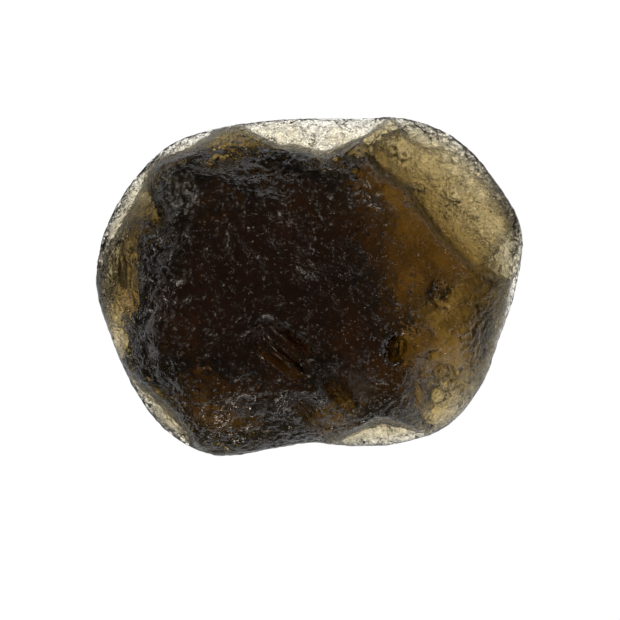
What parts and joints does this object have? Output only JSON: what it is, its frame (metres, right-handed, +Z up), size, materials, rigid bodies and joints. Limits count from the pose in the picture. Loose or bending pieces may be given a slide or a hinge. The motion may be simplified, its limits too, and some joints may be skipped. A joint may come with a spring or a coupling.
{
  "type": "tektite",
  "caption": "Tektite: a rounded lump of brown natural glass with chipped thin edges, struck facets, grooves and bubble pits.",
  "frame": {"origin": "on the ground, under the middle of the stone's length and width", "axes": "+X along the stone's length towards its thinner end, +Y across it towards the chipped clear edge, +Z up through its thickness"},
  "size_m": [0.0392, 0.0312, 0.016],
  "materials": {
    "glass": "satin, finely etched natural glass, smoky brown and seen through at its thin edges"
  },
  "bodies": {
    "root": {"tektite": "glass"}
  },
  "joints": []
}
